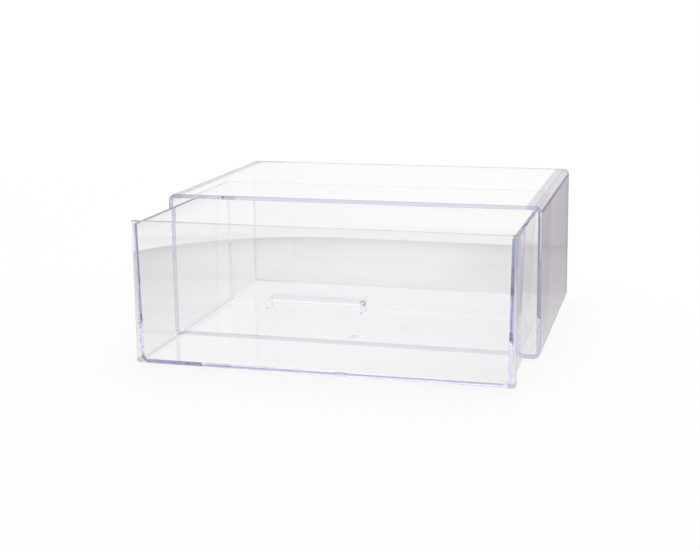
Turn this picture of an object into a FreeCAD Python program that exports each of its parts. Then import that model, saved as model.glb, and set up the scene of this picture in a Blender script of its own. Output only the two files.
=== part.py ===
import FreeCAD, Part
import os
import Sketcher

# Clear stackable drawer box, in millimetres: a one-piece case, open at the front, and the one-piece
# drawer that slides in it, with its finger pull moulded on the front panel.
# +Z is up, the drawer opens towards -Y, and the origin is the centre of the case's underside.
# The drawer is drawn pushed home, then placed as far open as it stands at rest.

# Driving sizes: name, millimetres, meaning.
SIZES = [
    ("case_width", 330, "outside width of the case"),
    ("case_depth", 222, "outside depth of the case, from the rim of its opening to its back"),
    ("case_height", 130, "outside height of the case"),
    ("case_wall", 3.5, "thickness of every wall of the case"),
    ("case_corner", 2.5, "radius of the case's long corners inside; outside it is one wall larger"),
    ("case_back_corner", 1, "radius inside, round the case's back wall"),
    ("case_back_round", 1.2, "rounding of the case's outer edges round its back"),
    ("side_gap", 4, "air between the case and the drawer's front panel at each side"),
    ("top_gap", 3, "air between the front panel's rim and the case's roof"),
    ("running_gap", 0.3, "clearance between the drawer's floor and the case's floor"),
    ("back_gap", 1.5, "air behind the drawer when its front is flush with the case"),
    ("extension", 95, "how far the drawer stands open at rest"),
    ("panel_wall", 3.4, "thickness of the drawer's front panel"),
    ("panel_corner", 2.5, "radius of the front panel's lower corners"),
    ("panel_lip", 0.8, "how far the front panel stands out past the tray's rim at each side"),
    ("tray_wall", 3.3, "thickness of the drawer's side walls and back wall"),
    ("tray_floor", 3, "thickness of the drawer's floor"),
    ("tray_lean", 2.2, "how far a side wall comes in at its foot"),
    ("tray_foot_corner", 4.2, "radius inside, between side wall and floor"),
    ("tray_back_corner", 2.5, "radius inside, round the back wall"),
    ("rim_drop", 2.8, "how far the tray's rim stays below the front panel's rim"),
    ("rim_round", 0.8, "rounding of the tray's rim and of the front panel's edges"),
    ("pull_width", 79, "width of the finger pull over its cheeks"),
    ("pull_reach", 10, "how far the pull stands out of the front panel"),
    ("pull_height", 9, "height of the pull's cheeks"),
    ("pull_wall", 2.3, "thickness of the pull's ledge and cheeks"),
    ("pull_corner", 0.8, "radius inside the pull's upper corners"),
    ("pull_drop", 56, "from the front panel's rim down to the pull's ledge"),
    ("gate_width", 10, "diameter of the round mark where the plastic was fed in"),
    ("gate_depth", 0.4, "depth of that mark"),
    ("case_gate_rise", 52, "height of the case's feed mark above its underside"),
    ("edge_round", 0.5, "rounding of the rim of the case's opening"),
    ("overrun", 5, "how far a cut runs past the solid"),
]

# A point this near a plane counts as on it, when edges are picked.
NEAR = 0.01

# Sums of driving sizes that several features share, as the sheet's expressions.
PANEL_HALF = "(dims.case_width / 2 - dims.case_wall - dims.side_gap)"
PANEL_RIM = "(dims.case_height - dims.case_wall - dims.top_gap)"
DRAWER_FOOT = "(dims.case_wall + dims.running_gap)"
DRAWER_LENGTH = "(dims.case_depth - dims.case_wall - dims.back_gap)"
TRAY_HALF = f"({PANEL_HALF} - dims.panel_lip)"
TRAY_RIM = f"({PANEL_RIM} - dims.rim_drop)"
PULL_TOP = f"({PANEL_RIM} - dims.pull_drop)"
PULL_FOOT = f"({PULL_TOP} - dims.pull_height)"
FRONT_PLANE = "dims.case_depth / 2"

doc = FreeCAD.newDocument("drawer_box")


def fill_sheet():
    """Puts each driving size in a cell of its own, named by its alias, and returns name to value."""
    sheet = doc.addObject("Spreadsheet::Sheet", "dims")
    for row, (name, size, meaning) in enumerate(SIZES, start=1):
        sheet.set(f"A{row}", str(size))
        sheet.setAlias(f"A{row}", name)
        sheet.set(f"B{row}", meaning)
    doc.recompute()
    return {name: float(sheet.get(name)) for name, size, meaning in SIZES}


def sketch_on(body, name, plane_role, offset):
    """An empty sketch on one of the body's own origin planes, moved along the plane's normal by offset."""
    plane = [p for p in body.Origin.OriginFeatures if p.Role == plane_role][0]
    sketch = body.newObject("Sketcher::SketchObject", name)
    sketch.AttachmentSupport = [(plane, "")]
    sketch.MapMode = "FlatFace"
    sketch.setExpression("AttachmentOffset.Base.z", offset)
    return sketch


def outline(body, name, plane_role, offset, corners):
    """A closed sketch of straight sides, each corner held at a pair of expressions."""
    sketch = sketch_on(body, name, plane_role, offset)
    count = len(corners)
    turn = FreeCAD.Rotation(FreeCAD.Vector(0, 0, 1), 360 / count)
    start = [FreeCAD.Vector(-1, -1, 0)]
    for _ in corners[1:]:
        start.append(turn.multVec(start[-1]))
    for i in range(count):
        sketch.addGeometry(Part.LineSegment(start[i], start[(i + 1) % count]))
    for i in range(count):
        sketch.addConstraint(Sketcher.Constraint("Coincident", i, 2, (i + 1) % count, 1))
    for i, (across, up) in enumerate(corners):
        for kind, size in (("DistanceX", across), ("DistanceY", up)):
            row = sketch.addConstraint(Sketcher.Constraint(kind, -1, 1, i, 1, 1))
            sketch.setExpression(f"Constraints[{row}]", size)
    return sketch


def disc(body, name, plane_role, offset, across, up, width):
    """A sketch of one circle, its centre at a pair of expressions."""
    sketch = sketch_on(body, name, plane_role, offset)
    sketch.addGeometry(Part.Circle(FreeCAD.Vector(1, 1, 0), FreeCAD.Vector(0, 0, 1), 1))
    for kind, size in (("DistanceX", across), ("DistanceY", up)):
        row = sketch.addConstraint(Sketcher.Constraint(kind, -1, 1, 0, 3, 1))
        sketch.setExpression(f"Constraints[{row}]", size)
    row = sketch.addConstraint(Sketcher.Constraint("Diameter", 0, 1))
    sketch.setExpression(f"Constraints[{row}]", width)
    return sketch


def pad(body, name, sketch, length, along_normal):
    """Solid from the sketch, towards its normal or away from it."""
    feature = body.newObject("PartDesign::Pad", name)
    feature.Profile = sketch
    feature.setExpression("Length", length)
    feature.Reversed = not along_normal
    doc.recompute()
    return feature


def pocket(body, name, sketch, depth, along_normal):
    """Cut from the sketch, towards its normal or away from it. It must take something away."""
    before = body.Shape.Volume
    feature = body.newObject("PartDesign::Pocket", name)
    feature.Profile = sketch
    feature.setExpression("Length", depth)
    feature.Reversed = along_normal
    doc.recompute()
    if not body.Shape.Volume < before:
        raise RuntimeError(f"{name} cuts nothing")
    return feature


def fillet(body, name, wanted, radius):
    """Rounds the edges of the body's solid so far whose bounding boxes pass the test."""
    base = body.Tip
    picked = [f"Edge{i}" for i, edge in enumerate(base.Shape.Edges, start=1) if wanted(edge.BoundBox)]
    if not picked:
        raise RuntimeError(f"{name} finds no edge")
    feature = body.newObject("PartDesign::Fillet", name)
    feature.Base = (base, picked)
    feature.setExpression("Radius", radius)
    doc.recompute()
    if feature.Shape.isNull():
        raise RuntimeError(f"{name} can't be rounded")
    return feature


def within(low, high):
    """A test that an edge's bounding box lies in the box from low to high, three numbers each."""
    def test(box):
        return (
            box.XMin > low[0] - NEAR and box.YMin > low[1] - NEAR and box.ZMin > low[2] - NEAR
            and box.XMax < high[0] + NEAR and box.YMax < high[1] + NEAR and box.ZMax < high[2] + NEAR
        )
    return test


def along_y(box):
    """A test that an edge runs along Y."""
    return box.YLength > NEAR and box.XLength < NEAR and box.ZLength < NEAR


def make_case(size):
    """The case: a box open at the front, its corners rounded, with the feed mark on its back."""
    body = doc.addObject("PartDesign::Body", "case")
    half = size["case_width"] / 2
    front = -size["case_depth"] / 2
    wall = size["case_wall"]
    back = -front
    roof = size["case_height"]
    outer = outline(body, "case_outline", "XZ_Plane", FRONT_PLANE, [
        ("-dims.case_width / 2", "0"),
        ("dims.case_width / 2", "0"),
        ("dims.case_width / 2", "dims.case_height"),
        ("-dims.case_width / 2", "dims.case_height"),
    ])
    pad(body, "case_block", outer, "dims.case_depth", False)
    fillet(body, "case_corners", along_y, "dims.case_corner + dims.case_wall")
    fillet(body, "case_back_edges", lambda box: box.YMin > back - NEAR, "dims.case_back_round")
    inner = outline(body, "case_opening", "XZ_Plane", FRONT_PLANE, [
        ("-dims.case_width / 2 + dims.case_wall", "dims.case_wall"),
        ("dims.case_width / 2 - dims.case_wall", "dims.case_wall"),
        ("dims.case_width / 2 - dims.case_wall", "dims.case_height - dims.case_wall"),
        ("-dims.case_width / 2 + dims.case_wall", "dims.case_height - dims.case_wall"),
    ])
    pocket(body, "case_hollow", inner, "dims.case_depth - dims.case_wall", False)
    hollow = within((wall - half, front, wall), (half - wall, back - wall, roof - wall))
    fillet(body, "hollow_corners", lambda box: along_y(box) and hollow(box), "dims.case_corner")
    fillet(
        body, "hollow_back_edges", lambda box: hollow(box) and box.YMin > back - wall - NEAR,
        "dims.case_back_corner",
    )
    fillet(body, "case_rim", lambda box: box.YMax < front + NEAR, "dims.edge_round")
    mark = disc(
        body, "case_gate", "XZ_Plane", "-dims.case_depth / 2",
        "0", "dims.case_gate_rise", "dims.gate_width",
    )
    pocket(body, "case_gate_mark", mark, "dims.gate_depth", True)
    return body


def make_drawer(size):
    """The drawer: front panel, tray with leaning side walls, and the finger pull on the panel."""
    body = doc.addObject("PartDesign::Body", "drawer")
    front = -size["case_depth"] / 2
    foot = size["case_wall"] + size["running_gap"]
    rim = size["case_height"] - size["case_wall"] - size["top_gap"]
    tray_rim = rim - size["rim_drop"]
    half = size["case_width"] / 2 - size["case_wall"] - size["side_gap"]
    panel_back = front + size["panel_wall"]
    back = front + size["case_depth"] - size["case_wall"] - size["back_gap"]

    tray = outline(body, "tray_outline", "XZ_Plane", f"{FRONT_PLANE} - dims.panel_wall", [
        (f"-({TRAY_HALF} - dims.tray_lean)", DRAWER_FOOT),
        (f"{TRAY_HALF} - dims.tray_lean", DRAWER_FOOT),
        (TRAY_HALF, TRAY_RIM),
        (f"-{TRAY_HALF}", TRAY_RIM),
    ])
    pad(body, "tray_block", tray, f"{DRAWER_LENGTH} - dims.panel_wall", False)
    behind = within((-half, panel_back, foot), (half, back, foot))
    fillet(
        body, "tray_foot", lambda box: along_y(box) and behind(box),
        "dims.tray_foot_corner + dims.tray_wall",
    )
    at_back = within((-half, back, foot), (half, back, tray_rim))
    fillet(
        body, "tray_back", lambda box: at_back(box) and box.ZMin < tray_rim - NEAR,
        "dims.tray_back_corner + dims.tray_wall",
    )
    slope = f"dims.tray_lean / ({TRAY_RIM} - {DRAWER_FOOT})"
    inside_foot = f"({TRAY_HALF} - dims.tray_wall - dims.tray_lean + {slope} * dims.tray_floor)"
    inside_top = f"({TRAY_HALF} - dims.tray_wall + {slope} * dims.overrun)"
    hollow = outline(body, "tray_opening", "XZ_Plane", f"{FRONT_PLANE} - dims.panel_wall", [
        (f"-{inside_foot}", f"{DRAWER_FOOT} + dims.tray_floor"),
        (inside_foot, f"{DRAWER_FOOT} + dims.tray_floor"),
        (inside_top, f"{TRAY_RIM} + dims.overrun"),
        (f"-{inside_top}", f"{TRAY_RIM} + dims.overrun"),
    ])
    pocket(body, "tray_hollow", hollow, f"{DRAWER_LENGTH} - dims.panel_wall - dims.tray_wall", False)
    floor = foot + size["tray_floor"]
    inner_back = back - size["tray_wall"]
    on_floor = within((-half, panel_back, floor), (half, inner_back, floor))
    fillet(body, "hollow_foot", lambda box: along_y(box) and on_floor(box), "dims.tray_foot_corner")
    on_wall = within((-half, inner_back, floor), (half, inner_back, tray_rim))
    fillet(
        body, "hollow_back", lambda box: on_wall(box) and box.ZMin < tray_rim - NEAR,
        "dims.tray_back_corner",
    )
    fillet(
        body, "tray_rim", lambda box: box.ZMin > tray_rim - NEAR and box.YMax > panel_back + NEAR,
        "dims.rim_round",
    )

    panel = outline(body, "panel_outline", "XZ_Plane", FRONT_PLANE, [
        (f"-{PANEL_HALF}", DRAWER_FOOT),
        (PANEL_HALF, DRAWER_FOOT),
        (PANEL_HALF, PANEL_RIM),
        (f"-{PANEL_HALF}", PANEL_RIM),
    ])
    pad(body, "panel", panel, "dims.panel_wall", False)
    low = within((-half, front, foot), (half, panel_back, foot))
    fillet(body, "panel_corners", lambda box: along_y(box) and low(box), "dims.panel_corner")
    fillet(body, "panel_edges", lambda box: box.YMax < front + NEAR, "dims.rim_round")
    fillet(
        body, "panel_rim", lambda box: box.ZMin > rim - NEAR and box.YMin > panel_back - NEAR,
        "dims.rim_round",
    )

    pull_half = size["pull_width"] / 2
    pull_top = rim - size["pull_drop"]
    pull_front = front - size["pull_reach"]
    pull = outline(body, "pull_outline", "XZ_Plane", FRONT_PLANE, [
        ("-dims.pull_width / 2", PULL_FOOT),
        ("dims.pull_width / 2", PULL_FOOT),
        ("dims.pull_width / 2", PULL_TOP),
        ("-dims.pull_width / 2", PULL_TOP),
    ])
    pad(body, "pull_block", pull, "dims.pull_reach", True)
    on_top = within((-pull_half, pull_front, pull_top), (pull_half, front, pull_top))
    fillet(
        body, "pull_shoulders", lambda box: along_y(box) and on_top(box),
        "dims.pull_corner + dims.pull_wall",
    )
    gap = outline(body, "finger_gap", "XZ_Plane", f"{FRONT_PLANE} + dims.pull_reach", [
        ("-dims.pull_width / 2 + dims.pull_wall", f"{PULL_FOOT} - dims.overrun"),
        ("dims.pull_width / 2 - dims.pull_wall", f"{PULL_FOOT} - dims.overrun"),
        ("dims.pull_width / 2 - dims.pull_wall", f"{PULL_TOP} - dims.pull_wall"),
        ("-dims.pull_width / 2 + dims.pull_wall", f"{PULL_TOP} - dims.pull_wall"),
    ])
    pocket(body, "finger_room", gap, "dims.pull_reach", False)
    roof = pull_top - size["pull_wall"]
    under = within((-pull_half, pull_front, roof), (pull_half, front, roof))
    fillet(body, "finger_corners", lambda box: along_y(box) and under(box), "dims.pull_corner")

    mark = disc(
        body, "drawer_gate", "XY_Plane", DRAWER_FOOT,
        "0", f"-dims.case_depth / 2 + {DRAWER_LENGTH} / 2", "dims.gate_width",
    )
    pocket(body, "drawer_gate_mark", mark, "dims.gate_depth", True)
    body.setExpression("Placement.Base.y", "-dims.extension")
    doc.recompute()
    return body


def check(parts):
    """Stops the build if a feature failed or a finished solid isn't sound."""
    for thing in doc.Objects:
        if "Invalid" in thing.State or "Error" in thing.State:
            raise RuntimeError(f"{thing.Name} failed: {thing.State}")
    for part in parts:
        if part.Shape.isNull() or not part.Shape.isValid() or len(part.Shape.Solids) != 1:
            raise RuntimeError(f"{part.Label} isn't one sound solid")


def main():
    size = fill_sheet()
    parts = [make_case(size), make_drawer(size)]
    check(parts)
    os.makedirs("parts", exist_ok=True)
    for part in parts:
        part.Shape.exportStep(f"parts/{part.Label}.step")
        box = part.Shape.BoundBox
        print(part.Label, round(part.Shape.Volume), [round(v, 2) for v in (
            box.XMin, box.YMin, box.ZMin, box.XMax, box.YMax, box.ZMax)])


main()
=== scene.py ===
"""Clear drawer box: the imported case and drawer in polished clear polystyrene, in a plain white studio."""

import math

import bpy
import numpy as np
from mathutils import Matrix, Vector

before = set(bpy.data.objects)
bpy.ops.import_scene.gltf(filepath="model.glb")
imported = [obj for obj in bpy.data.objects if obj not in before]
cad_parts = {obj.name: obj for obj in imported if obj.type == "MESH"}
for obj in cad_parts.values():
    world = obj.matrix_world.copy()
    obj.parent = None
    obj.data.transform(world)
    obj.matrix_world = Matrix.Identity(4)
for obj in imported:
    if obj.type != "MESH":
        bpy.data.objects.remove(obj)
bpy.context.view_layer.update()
scene = bpy.context.scene

# The photograph's frame in pixels, and the camera fitted to it: the row that its lens axis meets and its
# focal length in pixels. The photograph's own lens was shifted further up.
FRAME_WIDTH = 700
FRAME_HEIGHT = 550
AXIS_ROW = 210
FOCAL_PIXELS = 1272.9
SENSOR_MM = 36

# The camera's place in metres, its turns in radians, and how near and how far it sees.
EYE = (0.28362, -1.14297, 0.30940)
TILT_DOWN = 0.174
PAN_LEFT = 0.26681
ROLL = -0.01141
NEAREST = 0.05
FARTHEST = 100

# Clear polystyrene: its refractive index, and what a metre of it takes from red, green and blue.
POLYSTYRENE_IOR = 1.59
LOSS_PER_METRE = (1.3, 1.2, 0.6)

# Light runs the whole length of a wall between its faces, so its path is allowed this many turns.
WALL_BOUNCES = 160

# The plate that the box stands on: half its width, its middle, its corner radius, the width of its border
# in which the rings lie closer, and how far the plate and the floor lie below the box.
PLATE_HALF = 0.387
PLATE_MIDDLE_Y = -0.0265
PLATE_CORNER = 0.249
PLATE_BORDER = 0.117
PLATE_DROP = 0.0003
FLOOR_DROP = 0.0006

# The rings of the floor by radius. The plate's rings in its middle, and where these end as a share of its
# half width from the edge. The rings in its border before the edge, and the power by which they crowd
# towards it. The rings of the ground round the plate, by their distance from its edge.
FLOOR_RINGS = [0.5, 1, 2, 4, 8, 16, 40]
MIDDLE_RINGS = 28
MIDDLE_END = 0.3
BORDER_RINGS = 24
BORDER_CROWDING = 1.5
GROUND_RINGS = [0.008, 0.02, 0.05, 0.1, 0.15, 0.2, 0.3, 0.5, 0.8, 1.2, 3.0]

# The points round each ring of the floor and of the plate, and half the width of the ring at the middle.
FLOOR_POINTS = 96
PLATE_POINTS = 180
PINHOLE = 0.0001

# The plate's white and the floor's beyond it, its faint mauve, and the place in x where both are brightest.
# Away from there they fall with the square of the distance, a painted shade: by how much, and up to which
# square.
PLATE_WHITE = 0.945
FLOOR_WHITE = 0.97
PLATE_TINT = (1.004, 0.986, 0.994)
BRIGHTEST_X = -0.03
PLATE_FALL = 2.5
PLATE_FALL_END = 0.08
FLOOR_FALL = 0.35
FLOOR_FALL_END = 0.2

# Painted shade that darkens the plate towards its edge, and a painted shadow round the box's foot, each with
# the distance over which that fades, and the foot's half width and middle.
EDGE_SHADE = 0.17
EDGE_FADE = 0.035
FOOT_SHADE = 0.07
FOOT_FADE = 0.05
FOOT_HALF = 0.16
FOOT_MIDDLE_Y = -0.05

# A painted shadow behind the box, and painted shade behind on the right and on the left, and where each fades
# in along x, y or their opposites.
BACK_SHADE = 0.02
BACK_Y = (-0.03, 0.06)
BACK_RIGHT_SHADE = 0.07
BACK_RIGHT_X = (0.0, 0.07)
BACK_RIGHT_Y = (0.1, 0.2)
LEFT_SHADE = 0.07
LEFT_BY_MINUS_X = (0.15, 0.24)
LEFT_BY_Y = (-0.22, -0.12)
LEFT_BY_MINUS_Y = (-0.22, -0.1)

# Painted reflection of the room: where the plate and the ground, as mirrors show them, turn to its grey: to
# the front by -y, to the right by x and y, and how far the plate itself does so on the right.
DIM_FRONT = (0.5, 0.9)
DIM_RIGHT_X = (0.1, 0.2)
DIM_RIGHT_Y = (-0.3, 0.1)
PLATE_DIM = 0.75

# The grey of the room as smooth faces mirror it, and where its dark parts fade in or out, by the direction
# that the light comes from: the front in y, the right in x and the ceiling in z.
ROOM_MAUVE = (0.38, 0.35, 0.39)
FRONT_DARK = (-0.3, 0.3)
RIGHT_DARK = (0.45, 0.8)
CEILING_DARK = (0.25, 0.8)

# The softbox overhead: where it begins in z and ends in y, the count of mirrorings over which it rises
# above white, and how far above white it is for light that runs in the walls.
SOFTBOX_UP = (0.8, 0.95)
SOFTBOX_BACK = (0.05, 0.28)
SOFTBOX_TURNS = (1.0, 3.0)
OVEREXPOSED = 1.8

# The sky's level on matt things, how much of the floor's own white the eye gets near the box, so that the
# shadow stays faint, and the distances over which that rises to all of it.
MATT_LEVEL = 0.75
NEAR_WHITE = 0.88
SHADOW_REACH = (0.6, 1.6)

# The lamp: its place, the width of its square and its watts.
LAMP_PLACE = (0.2, 0.5, 1.7)
LAMP_SIZE = 1.4
LAMP_WATTS = 9

# The tint of each piece's painted shade on its edges and of its feed mark. Where the case's long top corners
# and the drawer's long foot corners begin, which get painted shade: beside in x, and beyond a distance from a
# height in z.
CASE_SHADE_AND_MARK_TINT = (0.6, 0.58, 0.66)
CASE_CORNERS = (0.1512, 0.0, 0.1243)
DRAWER_SHADE_AND_MARK_TINT = (0.52, 0.5, 0.58)
DRAWER_CORNERS = (0.1505, 0.1, 0.0915)
FEET_SHADE_SHARE = 0.6
CORNER_BLUR = 0.0015

# Painted shade on the case's front rim below the roof and on the top of the pull: the middle and half sizes
# of the box round each, its share of the tint, and how far out the tint fades.
CASE_RIM = ((0.0, -0.111, 0.059), (0.17, 0.0007, 0.062))
RIM_SHADE_SHARE = 0.7
PULL_TOP = ((0.0, -0.2115, 0.0675), (0.0395, 0.0052, 0.0008))
PULL_SHADE_SHARE = 0.35
BOX_BLUR = 0.0005

# The round feed marks, in the case's back wall and under the drawer's floor: the middle of each and the
# stretch that keeps it in its own face, the radii over which the edge and the paler bowl fade out, how
# much paler each bowl is, and the case's share of the tint.
CASE_MARK = (0.0, 0.1108, 0.052)
CASE_MARK_STRETCH = (1.0, 20.0, 1.0)
DRAWER_MARK = (0.0, -0.0975, 0.004)
DRAWER_MARK_STRETCH = (1.0, 1.0, 20.0)
MARK_EDGE = (0.0046, 0.0052)
MARK_BOWL = (0.002, 0.004)
CASE_BOWL = 0.3
DRAWER_BOWL = 0.7
CASE_MARK_SHARE = 0.4

# Where each piece's skin pattern begins, so that the two aren't alike.
CASE_SHIFT = (0.0, 0.0, 0.0)
DRAWER_SHIFT = (3.1, 1.7, 0.4)

# The skin's patterns, in turns to the metre: waves, haze, and scratches that run from front to back. The
# levels are where in their noise scratches and haze fade in.
WAVES_TO_METRE = 22.0
HAZE_TO_METRE = 60.0
SCRATCHES_TO_METRE = (900.0, 12.0, 900.0)
SCRATCH_LEVEL = (0.66, 0.74)
HAZE_LEVEL = (0.4, 0.8)

# The skin's finish: the roughness of haze and of scratches, a wave's height in metres, and how deep a
# scratch is to a wave.
HAZE = 0.03
SCRATCH_ROUGHNESS = 0.08
WAVE_HEIGHT = 0.00002
SCRATCH_DEPTH = 0.02


def add(tree, kind, settings=None, inputs=None):
    """A node of this kind with its settings, each input given linked to a socket or set to a value."""
    node = tree.nodes.new("ShaderNode" + kind)
    for key, value in (settings or {}).items():
        setattr(node, key, value)
    for key, value in (inputs or {}).items():
        if isinstance(value, bpy.types.NodeSocket):
            tree.links.new(value, node.inputs[key])
        else:
            node.inputs[key].default_value = value
    return node


def sums(tree, operation, *values):
    """The result of a Math node over numbers and sockets."""
    return add(tree, "Math", {"operation": operation}, dict(enumerate(values))).outputs[0]


def between(tree, value, low, high, out_low, out_high):
    """value carried smoothly from low..high to out_low..out_high, and held outside."""
    node = add(tree, "MapRange", {"interpolation_type": "SMOOTHSTEP"},
               {"Value": value, "From Min": low, "From Max": high, "To Min": out_low, "To Max": out_high})
    return node.outputs["Result"]


def long_corners(tree, place, beside, middle, beyond):
    """1 in the corners that run from front to back: over beside in x, over beyond from middle in z."""
    axes = add(tree, "SeparateXYZ", inputs={0: place}).outputs
    aside = sums(tree, "ABSOLUTE", axes["X"])
    away = sums(tree, "ABSOLUTE", sums(tree, "SUBTRACT", axes["Z"], middle))
    return sums(tree, "MULTIPLY", between(tree, aside, beside, beside + CORNER_BLUR, 0.0, 1.0),
                between(tree, away, beyond, beyond + CORNER_BLUR, 0.0, 1.0))


def in_box(tree, place, middle, half):
    """1 inside the box with this middle and these half sizes, 0 just outside it."""
    away = add(tree, "VectorMath", {"operation": "SUBTRACT"}, {0: place, 1: middle}).outputs[0]
    size = add(tree, "VectorMath", {"operation": "ABSOLUTE"}, {0: away}).outputs[0]
    over = add(tree, "VectorMath", {"operation": "SUBTRACT"}, {0: size, 1: half}).outputs[0]
    axes = add(tree, "SeparateXYZ", inputs={0: over}).outputs
    most = sums(tree, "MAXIMUM", sums(tree, "MAXIMUM", axes["X"], axes["Y"]), axes["Z"])
    return between(tree, most, 0.0, BOX_BLUR, 1.0, 0.0)


def feed_mark(tree, place, middle, stretch, bowl):
    """1 on the soft edge of the round feed mark at middle, less by bowl inside; stretch flattens it."""
    away = add(tree, "VectorMath", {"operation": "SUBTRACT"}, {0: place, 1: middle}).outputs[0]
    flat = add(tree, "VectorMath", {"operation": "MULTIPLY"}, {0: away, 1: stretch}).outputs[0]
    out = add(tree, "VectorMath", {"operation": "LENGTH"}, {0: flat}).outputs["Value"]
    return sums(tree, "SUBTRACT", between(tree, out, *MARK_EDGE, 1.0, 0.0),
                between(tree, out, *MARK_BOWL, bowl, 0.0))


def clear_plastic(name, shift, tint, shade_and_mark_mask):
    """Clear moulded plastic: a refracting skin, slightly wavy and scuffed, tinted with painted shade on its
    edges, over a faintly blue body.

    shade_and_mark_mask makes, from the tree and the place, the mask of where the skin is tinted: painted
    shade on the edges, and the feed marks. shift is where its pattern begins.
    """
    material = bpy.data.materials.new(name)
    material.use_nodes = True
    tree = material.node_tree
    shader = tree.nodes["Principled BSDF"]
    output = tree.nodes["Material Output"]
    place = add(tree, "TexCoord").outputs["Object"]
    moved = add(tree, "Mapping", inputs={"Vector": place, "Location": shift}).outputs["Vector"]
    # The skin's colour: white, tinted with painted shade on the edges and with the feed marks.
    skin = add(tree, "MixRGB", inputs={0: shade_and_mark_mask(tree, place), 1: (1, 1, 1, 1), 2: (*tint, 1)}).outputs[0]

    flow = add(tree, "TexNoise",
               inputs={"Vector": moved, "Scale": WAVES_TO_METRE, "Detail": 1.0, "Roughness": 0.4})
    film = add(tree, "TexNoise",
               inputs={"Vector": moved, "Scale": HAZE_TO_METRE, "Detail": 4.0, "Roughness": 0.6})
    stretched = add(tree, "Mapping", inputs={"Vector": moved, "Scale": SCRATCHES_TO_METRE}).outputs["Vector"]
    rubbed = add(tree, "TexNoise", inputs={"Vector": stretched, "Scale": 1.0, "Detail": 2.0})
    scratch = between(tree, rubbed.outputs["Fac"], *SCRATCH_LEVEL, 0.0, 1.0)

    haze = between(tree, film.outputs["Fac"], *HAZE_LEVEL, 0.0, HAZE)
    rough = sums(tree, "MULTIPLY_ADD", scratch, SCRATCH_ROUGHNESS, haze)
    height = sums(tree, "MULTIPLY_ADD", scratch, -SCRATCH_DEPTH, flow.outputs["Fac"])
    bump = add(tree, "Bump", inputs={"Height": height, "Strength": 1.0, "Distance": WAVE_HEIGHT})

    shader.inputs["Base Color"].default_value = (1, 1, 1, 1)
    shader.inputs["Transmission Weight"].default_value = 1
    shader.inputs["IOR"].default_value = POLYSTYRENE_IOR
    tree.links.new(skin, shader.inputs["Base Color"])
    tree.links.new(rough, shader.inputs["Roughness"])
    tree.links.new(bump.outputs["Normal"], shader.inputs["Normal"])
    density = 2 * max(LOSS_PER_METRE)
    body = add(tree, "VolumeAbsorption")
    body.inputs["Color"].default_value = (*(1 - loss / density for loss in LOSS_PER_METRE), 1)
    body.inputs["Density"].default_value = density
    tree.links.new(body.outputs["Volume"], output.inputs["Volume"])
    return material


def case_painted_shade_and_mark(tree, place):
    """Painted shade on the case's long top corners and its front rim below the roof, and its feed mark in the
    back wall.
    """
    rim = sums(tree, "MULTIPLY", in_box(tree, place, *CASE_RIM), RIM_SHADE_SHARE)
    mark = feed_mark(tree, place, CASE_MARK, CASE_MARK_STRETCH, CASE_BOWL)
    spots = sums(tree, "MAXIMUM", rim, sums(tree, "MULTIPLY", mark, CASE_MARK_SHARE))
    return sums(tree, "MAXIMUM", long_corners(tree, place, *CASE_CORNERS), spots)


def drawer_painted_shade_and_mark(tree, place):
    """Painted shade on the drawer's long foot corners and the top of its pull, and its feed mark under the
    floor.
    """
    pull = sums(tree, "MULTIPLY", in_box(tree, place, *PULL_TOP), PULL_SHADE_SHARE)
    mark = feed_mark(tree, place, DRAWER_MARK, DRAWER_MARK_STRETCH, DRAWER_BOWL)
    feet = sums(tree, "MULTIPLY", long_corners(tree, place, *DRAWER_CORNERS), FEET_SHADE_SHARE)
    return sums(tree, "MAXIMUM", feet, sums(tree, "MAXIMUM", pull, mark))


def dress(node, plastic):
    """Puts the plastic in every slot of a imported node."""
    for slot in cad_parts[node].material_slots:
        slot.material = plastic


def stand_camera():
    """A camera at the place and angle fitted to the photograph, its lens axis above the frame's middle."""
    data = bpy.data.cameras.new("camera")
    data.sensor_width = SENSOR_MM
    data.lens = FOCAL_PIXELS * SENSOR_MM / FRAME_WIDTH
    data.shift_y = (AXIS_ROW - FRAME_HEIGHT / 2) / FRAME_WIDTH
    data.clip_start = NEAREST
    data.clip_end = FARTHEST
    forward = Vector((
        -math.sin(PAN_LEFT) * math.cos(TILT_DOWN),
        math.cos(PAN_LEFT) * math.cos(TILT_DOWN),
        -math.sin(TILT_DOWN),
    ))
    right = Vector((math.cos(PAN_LEFT), math.sin(PAN_LEFT), 0))
    up = right.cross(forward)
    across = right * math.cos(ROLL) + up * math.sin(ROLL)
    upright = up * math.cos(ROLL) - right * math.sin(ROLL)
    turn = Matrix((across, upright, -forward)).transposed()
    eye = bpy.data.objects.new("camera", data)
    eye.matrix_world = Matrix.Translation(EYE) @ turn.to_4x4()
    scene.collection.objects.link(eye)
    scene.camera = eye


def sheet(name, x, y, z, material):
    """A flat stage sheet over the grid of points x, y, closed round its second parameter, facing up."""
    rows, columns = x.shape
    points = np.stack([x, y, np.full_like(x, z)], -1).reshape(-1, 3)
    i, j = np.meshgrid(np.arange(rows - 1), np.arange(columns), indexing="ij")
    k = (j + 1) % columns
    faces = np.stack([i * columns + j, (i + 1) * columns + j, (i + 1) * columns + k, i * columns + k], -1)
    mesh = bpy.data.meshes.new(name)
    mesh.from_pydata(points.tolist(), [], faces.reshape(-1, 4).tolist())
    mesh.materials.append(material)
    thing = bpy.data.objects.new(name, mesh)
    scene.collection.objects.link(thing)
    return thing


def seen_sharply(tree, path):
    """1 for the eye, mirrors and clear things, 0 for matt things; path holds the Light Path outputs."""
    clear = sums(tree, "MAXIMUM", path["Is Glossy Ray"], path["Is Transmission Ray"])
    return sums(tree, "MAXIMUM", path["Is Camera Ray"], clear)


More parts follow.
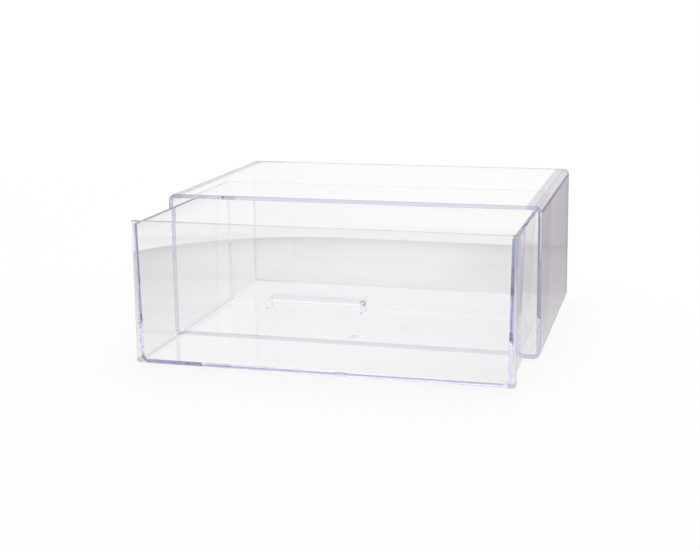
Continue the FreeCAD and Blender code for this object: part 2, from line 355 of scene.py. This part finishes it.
def floor_white():
    """White matt floor: the eye, mirrors and clear things see it white, with the shadow left in it."""
    material = bpy.data.materials.new("floor_white")
    material.use_nodes = True
    tree = material.node_tree
    tree.nodes.clear()
    path = add(tree, "LightPath").outputs
    place = add(tree, "TexCoord").outputs["Object"]
    out = add(tree, "VectorMath", {"operation": "LENGTH"}, {0: place}).outputs["Value"]
    white = between(tree, out, *SHADOW_REACH, NEAR_WHITE, 1.0)
    matt = add(tree, "BsdfDiffuse", inputs={"Color": (1, 1, 1, 1)})
    glow = add(tree, "Emission", inputs={"Color": (1, 1, 1, 1), "Strength": 1.0})
    share = sums(tree, "MULTIPLY", seen_sharply(tree, path), white)
    mix = add(tree, "MixShader", inputs={0: share, 1: matt.outputs[0], 2: glow.outputs[0]})
    add(tree, "OutputMaterial", inputs={"Surface": mix.outputs[0]})
    return material


def lay_floor():
    """A flat disc: rings of points, by radius and angle."""
    radii = np.array([PINHOLE, *FLOOR_RINGS])
    turns = np.linspace(0, 2 * math.pi, FLOOR_POINTS + 1)[:-1]
    sheet("floor", np.outer(radii, np.cos(turns)), np.outer(radii, np.sin(turns)), -FLOOR_DROP, floor_white())


def plate_painted_glow():
    """The plate's painted glow, though it is no lamp: its layer through as seen through plastic, its layer
    mirror once mirrored.
    """
    material = bpy.data.materials.new("plate_painted_glow")
    material.use_nodes = True
    tree = material.node_tree
    tree.nodes.clear()
    mirrored = sums(tree, "MINIMUM", add(tree, "LightPath").outputs["Glossy Depth"], 1.0)
    through = add(tree, "Attribute", {"attribute_name": "through"}).outputs["Color"]
    mirror = add(tree, "Attribute", {"attribute_name": "mirror"}).outputs["Color"]
    tone = add(tree, "MixRGB", inputs={0: mirrored, 1: through, 2: mirror}).outputs[0]
    glow = add(tree, "Emission", inputs={"Color": tone, "Strength": 1.0})
    add(tree, "OutputMaterial", inputs={"Surface": glow.outputs[0]})
    return material


def step(x, low, high):
    """Smooth step of x from 0 at low to 1 at high."""
    t = np.clip((x - low) / (high - low), 0, 1)
    return t * t * (3 - 2 * t)


def paint(thing, name, tones):
    """A colour layer of this name: one red, green and blue for each point, in the points' order."""
    colour = np.concatenate([tones, np.ones_like(tones[..., :1])], -1)
    layer = thing.data.attributes.new(name, "FLOAT_COLOR", "POINT")
    layer.data.foreach_set("color", np.ascontiguousarray(colour.ravel(), dtype=np.float32))


def plate_offsets():
    """How far each ring lies outside the plate's edge: negative on the plate, 0 on the edge."""
    return np.concatenate([
        -PLATE_HALF * np.linspace(1, MIDDLE_END, MIDDLE_RINGS + 1)[:-1],
        -PLATE_BORDER * (1 - np.linspace(0, 1, BORDER_RINGS + 1)) ** BORDER_CROWDING,
        GROUND_RINGS,
    ])


def plate_points(offset, turn):
    """The plate's outline moved out by offset, as x and y at the angle turn round its middle.

    The outline at an offset d is a square of half-width h + d whose corners have the radius r + d.
    A point lies on a straight side where that side reaches it, and otherwise on a corner's arc. The
    first ring, at the middle, is a pinhole.
    """
    half = PLATE_HALF + offset
    half[0] = PINHOLE
    corner = np.clip(PLATE_CORNER + offset, 0, None)
    core = half - corner
    c = np.abs(np.cos(turn))
    s = np.abs(np.sin(turn))
    straight = half / np.maximum(c, s)
    dot = core * (c + s)
    bend = dot + np.sqrt(np.maximum(dot ** 2 - 2 * core ** 2 + corner ** 2, 0))
    on_side = np.minimum(c, s) * straight <= core
    radius = np.where(on_side, straight, bend)
    return radius * np.cos(turn), radius * np.sin(turn) + PLATE_MIDDLE_Y


def tones_through(x, y, offset):
    """The ground's colours, painted shade and shadow included, as they show straight through the plastic.

    The plate is its white less the painted shade aside and towards its edge, the painted shadow round the
    box's foot and behind the box, and the painted shade on the left, times its tint. The floor beyond it is
    its white less the painted shade aside.
    """
    aside = (x - BRIGHTEST_X) ** 2
    rim = EDGE_SHADE * np.exp(offset / EDGE_FADE)
    beside = np.clip(np.abs(x) - FOOT_HALF, 0, None)
    before = np.clip(np.abs(y - FOOT_MIDDLE_Y) - FOOT_HALF, 0, None)
    from_box = np.hypot(beside, before)
    painted_contact_shadow = FOOT_SHADE * np.exp(-from_box / FOOT_FADE) * (from_box > 0)
    back_right = BACK_RIGHT_SHADE * step(x, *BACK_RIGHT_X) * step(y, *BACK_RIGHT_Y)
    behind = BACK_SHADE * step(y, *BACK_Y) + back_right
    left = LEFT_SHADE * step(-x, *LEFT_BY_MINUS_X) * step(y, *LEFT_BY_Y) * step(-y, *LEFT_BY_MINUS_Y)
    plate_grey = PLATE_WHITE - PLATE_FALL * np.minimum(aside, PLATE_FALL_END) - rim - painted_contact_shadow - behind - left
    floor_grey = FLOOR_WHITE - FLOOR_FALL * np.minimum(aside, FLOOR_FALL_END)
    on_plate = (offset <= 0)[..., None]
    return np.where(on_plate, plate_grey[..., None] * np.array(PLATE_TINT), floor_grey[..., None])


def tones_mirrored(through, x, y, offset):
    """The ground's colours as mirrors show them, a painted reflection: turned to the room's grey to the front
    and the right.
    """
    front = step(-y, *DIM_FRONT)
    right = step(x, *DIM_RIGHT_X) * step(y, *DIM_RIGHT_Y) * np.where(offset <= 0, PLATE_DIM, 1.0)
    dim = np.maximum(front, right)[..., None]
    return through * (1 - dim) + np.array(ROOM_MAUVE) * dim


def lay_plate():
    """A rounded square and the ground round it, which show only in and through the plastic. They glow with
    painted
    tones: painted shade and shadow as seen through, and a painted reflection of the room's grey as seen
    mirrored.
    """
    turns = np.linspace(0, 2 * math.pi, PLATE_POINTS + 1)[:-1]
    offset, turn = np.meshgrid(plate_offsets(), turns, indexing="ij")
    x, y = plate_points(offset, turn)
    plate = sheet("plate", x, y, -PLATE_DROP, plate_painted_glow())
    through = tones_through(x, y, offset)
    paint(plate, "through", through)
    paint(plate, "mirror", tones_mirrored(through, x, y, offset))
    plate.visible_camera = False
    plate.visible_diffuse = False
    plate.visible_shadow = False


def light_world():
    """White all round to the eye and straight through.

    Mirrored, the front, the right and the ceiling are darker, except for a softbox overhead, which is
    above white for light that runs in the walls. Matt things get an even, lower light.
    """
    world = bpy.data.worlds.new("studio")
    scene.world = world
    world.use_nodes = True
    tree = world.node_tree
    tree.nodes.clear()
    path = add(tree, "LightPath").outputs
    aim = add(tree, "SeparateXYZ", inputs={0: add(tree, "TexCoord").outputs["Generated"]}).outputs
    front = between(tree, aim["Y"], *FRONT_DARK, 1.0, 0.0)
    right = between(tree, aim["X"], *RIGHT_DARK, 0.0, 1.0)
    ceiling = between(tree, aim["Z"], *CEILING_DARK, 0.0, 1.0)
    around = sums(tree, "MAXIMUM", sums(tree, "MAXIMUM", front, right), ceiling)
    softbox = sums(tree, "MULTIPLY", between(tree, aim["Z"], *SOFTBOX_UP, 0.0, 1.0),
                   between(tree, aim["Y"], *SOFTBOX_BACK, 1.0, 0.0))
    mirrored = sums(tree, "MINIMUM", path["Glossy Depth"], 1.0)
    dark = sums(tree, "MULTIPLY", mirrored, around)
    dim = sums(tree, "MULTIPLY", dark, sums(tree, "SUBTRACT", 1.0, softbox))
    tone = add(tree, "MixRGB", inputs={0: dim, 1: (1, 1, 1, 1), 2: (*ROOM_MAUVE, 1)}).outputs[0]
    piped = between(tree, path["Glossy Depth"], *SOFTBOX_TURNS, 0.0, 1.0)
    level = sums(tree, "MULTIPLY_ADD", sums(tree, "MULTIPLY", piped, softbox), OVEREXPOSED, 1.0)
    seen = seen_sharply(tree, path)
    strength = add(tree, "Mix", {"data_type": "FLOAT"}, {0: seen, 2: MATT_LEVEL, 3: level}).outputs[0]
    sky = add(tree, "Background", inputs={"Color": tone, "Strength": strength})
    add(tree, "OutputWorld", inputs={"Surface": sky.outputs[0]})


def hang_lamp(name, place, aim, size, watts):
    """A square soft lamp at place, turned to face aim, which gives the shadow and isn't mirrored itself."""
    data = bpy.data.lights.new(name, "AREA")
    data.size = size
    data.energy = watts
    lamp = bpy.data.objects.new(name, data)
    lamp.visible_glossy = False
    lamp.visible_transmission = False
    away = Vector(place) - Vector(aim)
    lamp.matrix_world = Matrix.Translation(place) @ away.to_track_quat("Z", "Y").to_matrix().to_4x4()
    scene.collection.objects.link(lamp)


dress("case", clear_plastic("case_plastic", CASE_SHIFT, CASE_SHADE_AND_MARK_TINT, case_painted_shade_and_mark))
dress("drawer", clear_plastic("drawer_plastic", DRAWER_SHIFT, DRAWER_SHADE_AND_MARK_TINT, drawer_painted_shade_and_mark))
stand_camera()
lay_floor()
lay_plate()
light_world()
hang_lamp("lamp_top", LAMP_PLACE, (0, 0, 0), LAMP_SIZE, LAMP_WATTS)

scene.view_settings.view_transform = "Standard"
scene.cycles.max_bounces = WALL_BOUNCES
scene.cycles.transmission_bounces = WALL_BOUNCES
scene.cycles.glossy_bounces = WALL_BOUNCES
